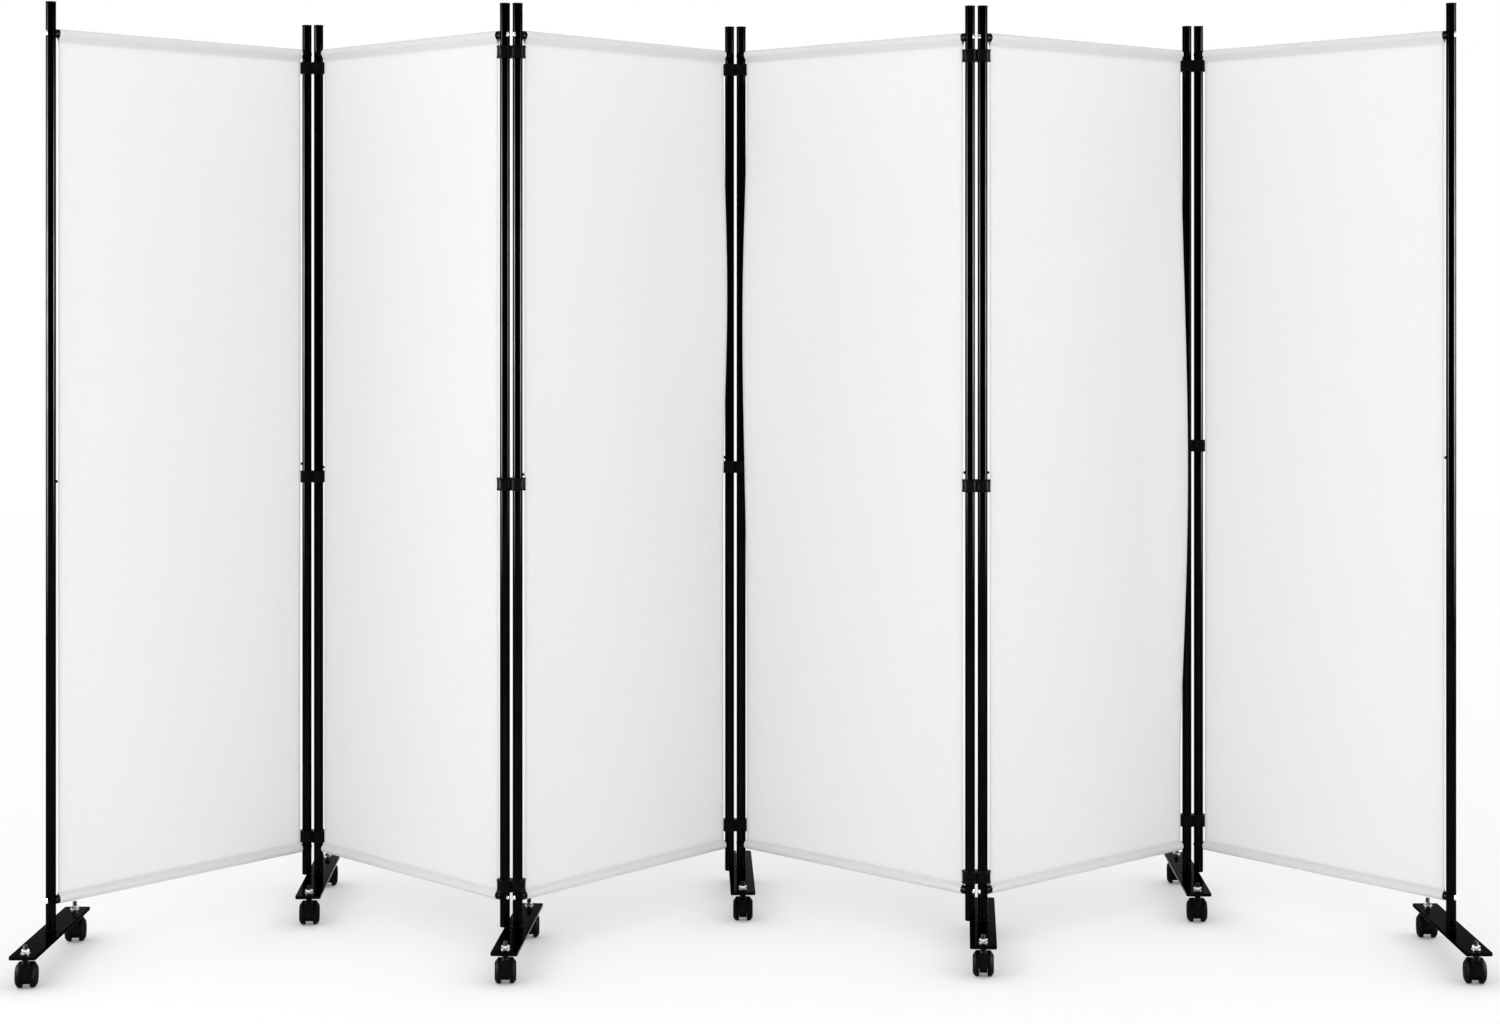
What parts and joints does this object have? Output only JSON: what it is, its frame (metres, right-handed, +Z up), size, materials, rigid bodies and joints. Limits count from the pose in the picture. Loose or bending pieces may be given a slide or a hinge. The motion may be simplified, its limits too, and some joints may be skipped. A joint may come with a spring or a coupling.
{
  "type": "folding privacy screen",
  "caption": "Tall folding cloth screen: panels hung between slim black poles, double hinge clips, flat feet on twin-wheel swivel casters.",
  "frame": {"origin": "on the floor, under the middle of the row's overall box", "axes": "+X to the right along the row as seen from the front, +Y away from the viewer, +Z up"},
  "size_m": [2.6936, 0.8933, 1.8128],
  "materials": {
    "pole_steel": "gloss",
    "crossbar_steel": "gloss",
    "panel_cloth": "matte",
    "clip_nylon": "satin",
    "foot_steel": "gloss",
    "caster_nylon": "satin",
    "wheel_nylon": "satin"
  },
  "bodies": {
    "panel_1": {"panel_1_poles": "pole_steel", "panel_1_crossbars": "crossbar_steel", "panel_1_cloth": "panel_cloth"},
    "panel_2": {"panel_2_poles": "pole_steel", "panel_2_crossbars": "crossbar_steel", "panel_2_cloth": "panel_cloth"},
    "panel_3": {"panel_3_poles": "pole_steel", "panel_3_crossbars": "crossbar_steel", "panel_3_cloth": "panel_cloth"},
    "panel_4": {"panel_4_poles": "pole_steel", "panel_4_crossbars": "crossbar_steel", "panel_4_cloth": "panel_cloth"},
    "panel_5": {"panel_5_poles": "pole_steel", "panel_5_crossbars": "crossbar_steel", "panel_5_cloth": "panel_cloth"},
    "panel_6": {"panel_6_poles": "pole_steel", "panel_6_crossbars": "crossbar_steel", "panel_6_cloth": "panel_cloth"},
    "clips_1": {"hinge_clips_1": "clip_nylon"},
    "clips_2": {"hinge_clips_2": "clip_nylon"},
    "clips_3": {"hinge_clips_3": "clip_nylon"},
    "clips_4": {"hinge_clips_4": "clip_nylon"},
    "clips_5": {"hinge_clips_5": "clip_nylon"},
    "foot_1": {"foot_1": "foot_steel"},
    "hood_1_front": {"caster_1_front_hood": "caster_nylon"},
    "wheels_1_front": {"caster_1_front_wheels": "wheel_nylon"},
    "hood_1_rear": {"caster_1_rear_hood": "caster_nylon"},
    "wheels_1_rear": {"caster_1_rear_wheels": "wheel_nylon"},
    "foot_2": {"foot_2": "foot_steel"},
    "hood_2_front": {"caster_2_front_hood": "caster_nylon"},
    "wheels_2_front": {"caster_2_front_wheels": "wheel_nylon"},
    "hood_2_rear": {"caster_2_rear_hood": "caster_nylon"},
    "wheels_2_rear": {"caster_2_rear_wheels": "wheel_nylon"},
    "foot_3": {"foot_3": "foot_steel"},
    "hood_3_front": {"caster_3_front_hood": "caster_nylon"},
    "wheels_3_front": {"caster_3_front_wheels": "wheel_nylon"},
    "hood_3_rear": {"caster_3_rear_hood": "caster_nylon"},
    "wheels_3_rear": {"caster_3_rear_wheels": "wheel_nylon"},
    "foot_4": {"foot_4": "foot_steel"},
    "hood_4_front": {"caster_4_front_hood": "caster_nylon"},
    "wheels_4_front": {"caster_4_front_wheels": "wheel_nylon"},
    "hood_4_rear": {"caster_4_rear_hood": "caster_nylon"},
    "wheels_4_rear": {"caster_4_rear_wheels": "wheel_nylon"},
    "foot_5": {"foot_5": "foot_steel"},
    "hood_5_front": {"caster_5_front_hood": "caster_nylon"},
    "wheels_5_front": {"caster_5_front_wheels": "wheel_nylon"},
    "hood_5_rear": {"caster_5_rear_hood": "caster_nylon"},
    "wheels_5_rear": {"caster_5_rear_wheels": "wheel_nylon"},
    "foot_6": {"foot_6": "foot_steel"},
    "hood_6_front": {"caster_6_front_hood": "caster_nylon"},
    "wheels_6_front": {"caster_6_front_wheels": "wheel_nylon"},
    "hood_6_rear": {"caster_6_rear_hood": "caster_nylon"},
    "wheels_6_rear": {"caster_6_rear_wheels": "wheel_nylon"},
    "foot_7": {"foot_7": "foot_steel"},
    "hood_7_front": {"caster_7_front_hood": "caster_nylon"},
    "wheels_7_front": {"caster_7_front_wheels": "wheel_nylon"},
    "hood_7_rear": {"caster_7_rear_hood": "caster_nylon"},
    "wheels_7_rear": {"caster_7_rear_wheels": "wheel_nylon"}
  },
  "joints": [
    {"name": "panel_3_in_clips_2", "type": "hinge", "parent": "panel_3", "child": "clips_2", "pos_m": [-0.44534, -0.22721, 0.06725], "axis": [0, 0, 1], "range_deg": [-38, 138]},
    {"name": "panel_2_in_clips_2", "type": "hinge", "parent": "clips_2", "child": "panel_2", "pos_m": [-0.46934, -0.22721, 0.06725], "axis": [0, 0, 1], "range_deg": [-42.7, 133.3]},
    {"name": "panel_2_in_clips_1", "type": "hinge", "parent": "panel_2", "child": "clips_1", "pos_m": [-0.89841, 0.20638, 0.06725], "axis": [0, 0, -1], "range_deg": [-42.7, 133.3]},
    {"name": "panel_1_in_clips_1", "type": "hinge", "parent": "clips_1", "child": "panel_1", "pos_m": [-0.92241, 0.20638, 0.06725], "axis": [0, 0, -1], "range_deg": [-38.7, 137.3]},
    {"name": "panel_3_in_clips_3", "type": "hinge", "parent": "panel_3", "child": "clips_3", "pos_m": [-0.05324, 0.24008, 0.06725], "axis": [0, 0, 1], "range_deg": [-38, 138]},
    {"name": "panel_4_in_clips_3", "type": "hinge", "parent": "clips_3", "child": "panel_4", "pos_m": [-0.02924, 0.24008, 0.06725], "axis": [0, 0, 1], "range_deg": [-44.6, 131.4]},
    {"name": "panel_4_in_clips_4", "type": "hinge", "parent": "panel_4", "child": "clips_4", "pos_m": [0.41397, -0.17904, 0.06725], "axis": [0, 0, -1], "range_deg": [-44.6, 131.4]},
    {"name": "panel_5_in_clips_4", "type": "hinge", "parent": "clips_4", "child": "panel_5", "pos_m": [0.43797, -0.17904, 0.06725], "axis": [0, 0, -1], "range_deg": [-46.1, 129.9]},
    {"name": "panel_5_in_clips_5", "type": "hinge", "parent": "panel_5", "child": "clips_5", "pos_m": [0.892, 0.22834, 0.06725], "axis": [0, 0, 1], "range_deg": [-46.1, 129.9]},
    {"name": "panel_6_in_clips_5", "type": "hinge", "parent": "clips_5", "child": "panel_6", "pos_m": [0.916, 0.22834, 0.06725], "axis": [0, 0, 1], "range_deg": [-39.5, 136.5]},
    {"name": "foot_1_turn", "type": "hinge", "parent": "panel_1", "child": "foot_1", "pos_m": [-1.3202, -0.25608, 0.06725], "axis": [0, 0, 1], "range_deg": [-38.7, 137.3]},
    {"name": "foot_2_turn", "type": "hinge", "parent": "panel_2", "child": "foot_2", "pos_m": [-0.89841, 0.20638, 0.06725], "axis": [0, 0, -1], "range_deg": [-39.2, 136.8]},
    {"name": "foot_3_turn", "type": "hinge", "parent": "panel_3", "child": "foot_3", "pos_m": [-0.44534, -0.22721, 0.06725], "axis": [0, 0, 1], "range_deg": [-36, 140]},
    {"name": "foot_4_turn", "type": "hinge", "parent": "panel_4", "child": "foot_4", "pos_m": [-0.02924, 0.24008, 0.06725], "axis": [0, 0, -1], "range_deg": [-42.6, 133.4]},
    {"name": "foot_5_turn", "type": "hinge", "parent": "panel_5", "child": "foot_5", "pos_m": [0.43797, -0.17904, 0.06725], "axis": [0, 0, 1], "range_deg": [-42.1, 133.9]},
    {"name": "foot_6_turn", "type": "hinge", "parent": "panel_5", "child": "foot_6", "pos_m": [0.892, 0.22834, 0.06725], "axis": [0, 0, 1], "range_deg": [-44.6, 131.4]},
    {"name": "foot_7_turn", "type": "hinge", "parent": "panel_6", "child": "foot_7", "pos_m": [1.3202, -0.22853, 0.06725], "axis": [0, 0, -1], "range_deg": [-38.5, 137.5]},
    {"name": "caster_1_front_swivel", "type": "hinge", "parent": "foot_1", "child": "hood_1_front", "pos_m": [-1.3202, -0.42208, 0.059], "axis": [0, 0, 1], "continuous": true},
    {"name": "caster_1_front_roll", "type": "hinge", "parent": "hood_1_front", "child": "wheels_1_front", "pos_m": [-1.32242, -0.40624, 0.0225], "axis": [0.9903, 0.1392, 0], "continuous": true},
    {"name": "caster_1_rear_swivel", "type": "hinge", "parent": "foot_1", "child": "hood_1_rear", "pos_m": [-1.3202, -0.09008, 0.059], "axis": [0, 0, 1], "continuous": true},
    {"name": "caster_1_rear_roll", "type": "hinge", "parent": "hood_1_rear", "child": "wheels_1_rear", "pos_m": [-1.3227, -0.07428, 0.0225], "axis": [0.9877, 0.1564, 0], "continuous": true},
    {"name": "caster_2_front_swivel", "type": "hinge", "parent": "foot_2", "child": "hood_2_front", "pos_m": [-0.88828, 0.04069, 0.059], "axis": [0, 0, 1], "continuous": true},
    {"name": "caster_2_front_roll", "type": "hinge", "parent": "hood_2_front", "child": "wheels_2_front", "pos_m": [-0.89009, 0.05659, 0.0225], "axis": [0.9936, 0.1132, 0], "continuous": true},
    {"name": "caster_2_rear_swivel", "type": "hinge", "parent": "foot_2", "child": "hood_2_rear", "pos_m": [-0.90855, 0.37207, 0.059], "axis": [0, 0, 1], "continuous": true},
    {"name": "caster_2_rear_roll", "type": "hinge", "parent": "hood_2_rear", "child": "wheels_2_rear", "pos_m": [-0.91008, 0.388, 0.0225], "axis": [0.9954, 0.0958, 0], "continuous": true},
    {"name": "caster_3_front_swivel", "type": "hinge", "parent": "foot_3", "child": "hood_3_front", "pos_m": [-0.45114, -0.3931, 0.059], "axis": [0, 0, 1], "continuous": true},
    {"name": "caster_3_front_roll", "type": "hinge", "parent": "hood_3_front", "child": "wheels_3_front", "pos_m": [-0.45253, -0.37717, 0.0225], "axis": [0.9962, 0.0872, 0], "continuous": true},
    {"name": "caster_3_rear_swivel", "type": "hinge", "parent": "foot_3", "child": "hood_3_rear", "pos_m": [-0.43955, -0.06131, 0.059], "axis": [0, 0, 1], "continuous": true},
    {"name": "caster_3_rear_roll", "type": "hinge", "parent": "hood_3_rear", "child": "wheels_3_rear", "pos_m": [-0.44067, -0.04535, 0.0225], "axis": [0.9976, 0.0698, 0], "continuous": true},
    {"name": "caster_4_front_swivel", "type": "hinge", "parent": "foot_4", "child": "hood_4_front", "pos_m": [-0.02345, 0.07418, 0.059], "axis": [0, 0, 1], "continuous": true},
    {"name": "caster_4_front_roll", "type": "hinge", "parent": "hood_4_front", "child": "wheels_4_front", "pos_m": [-0.02345, 0.09018, 0.0225], "axis": [1, 0, 0], "continuous": true},
    {"name": "caster_4_rear_swivel", "type": "hinge", "parent": "foot_4", "child": "hood_4_rear", "pos_m": [-0.03504, 0.40598, 0.059], "axis": [0, 0, 1], "continuous": true},
    {"name": "caster_4_rear_roll", "type": "hinge", "parent": "hood_4_rear", "child": "wheels_4_rear", "pos_m": [-0.0342, 0.42196, 0.0225], "axis": [0.9986, -0.0523, 0], "continuous": true},
    {"name": "caster_5_front_swivel", "type": "hinge", "parent": "foot_5", "child": "hood_5_front", "pos_m": [0.42639, -0.34464, 0.059], "axis": [0, 0, 1], "continuous": true},
    {"name": "caster_5_front_roll", "type": "hinge", "parent": "hood_5_front", "child": "wheels_5_front", "pos_m": [0.4275, -0.32868, 0.0225], "axis": [0.9976, -0.0698, 0], "continuous": true},
    {"name": "caster_5_rear_swivel", "type": "hinge", "parent": "foot_5", "child": "hood_5_rear", "pos_m": [0.44955, -0.01345, 0.059], "axis": [0, 0, 1], "continuous": true},
    {"name": "caster_5_rear_roll", "type": "hinge", "parent": "hood_5_rear", "child": "wheels_5_rear", "pos_m": [0.45094, 0.00249, 0.0225], "axis": [0.9962, -0.0872, 0], "continuous": true},
    {"name": "caster_6_front_swivel", "type": "hinge", "parent": "foot_6", "child": "hood_6_front", "pos_m": [0.88765, 0.06239, 0.059], "axis": [0, 0, 1], "continuous": true},
    {"name": "caster_6_front_roll", "type": "hinge", "parent": "hood_6_front", "child": "wheels_6_front", "pos_m": [0.88863, 0.07836, 0.0225], "axis": [0.9981, -0.061, 0], "continuous": true},
    {"name": "caster_6_rear_swivel", "type": "hinge", "parent": "foot_6", "child": "hood_6_rear", "pos_m": [0.89634, 0.39428, 0.059], "axis": [0, 0, 1], "continuous": true},
    {"name": "caster_6_rear_roll", "type": "hinge", "parent": "hood_6_rear", "child": "wheels_6_rear", "pos_m": [0.89788, 0.4102, 0.0225], "axis": [0.9954, -0.0958, 0], "continuous": true},
    {"name": "caster_7_front_swivel", "type": "hinge", "parent": "foot_7", "child": "hood_7_front", "pos_m": [1.32309, -0.3945, 0.059], "axis": [0, 0, 1], "continuous": true},
    {"name": "caster_7_front_roll", "type": "hinge", "parent": "hood_7_front", "child": "wheels_7_front", "pos_m": [1.32476, -0.37859, 0.0225], "axis": [0.9945, -0.1045, 0], "continuous": true},
    {"name": "caster_7_rear_swivel", "type": "hinge", "parent": "foot_7", "child": "hood_7_rear", "pos_m": [1.3173, -0.06255, 0.059], "axis": [0, 0, 1], "continuous": true},
    {"name": "caster_7_rear_roll", "type": "hinge", "parent": "hood_7_rear", "child": "wheels_7_rear", "pos_m": [1.31953, -0.04671, 0.0225], "axis": [0.9903, -0.1392, 0], "continuous": true}
  ]
}
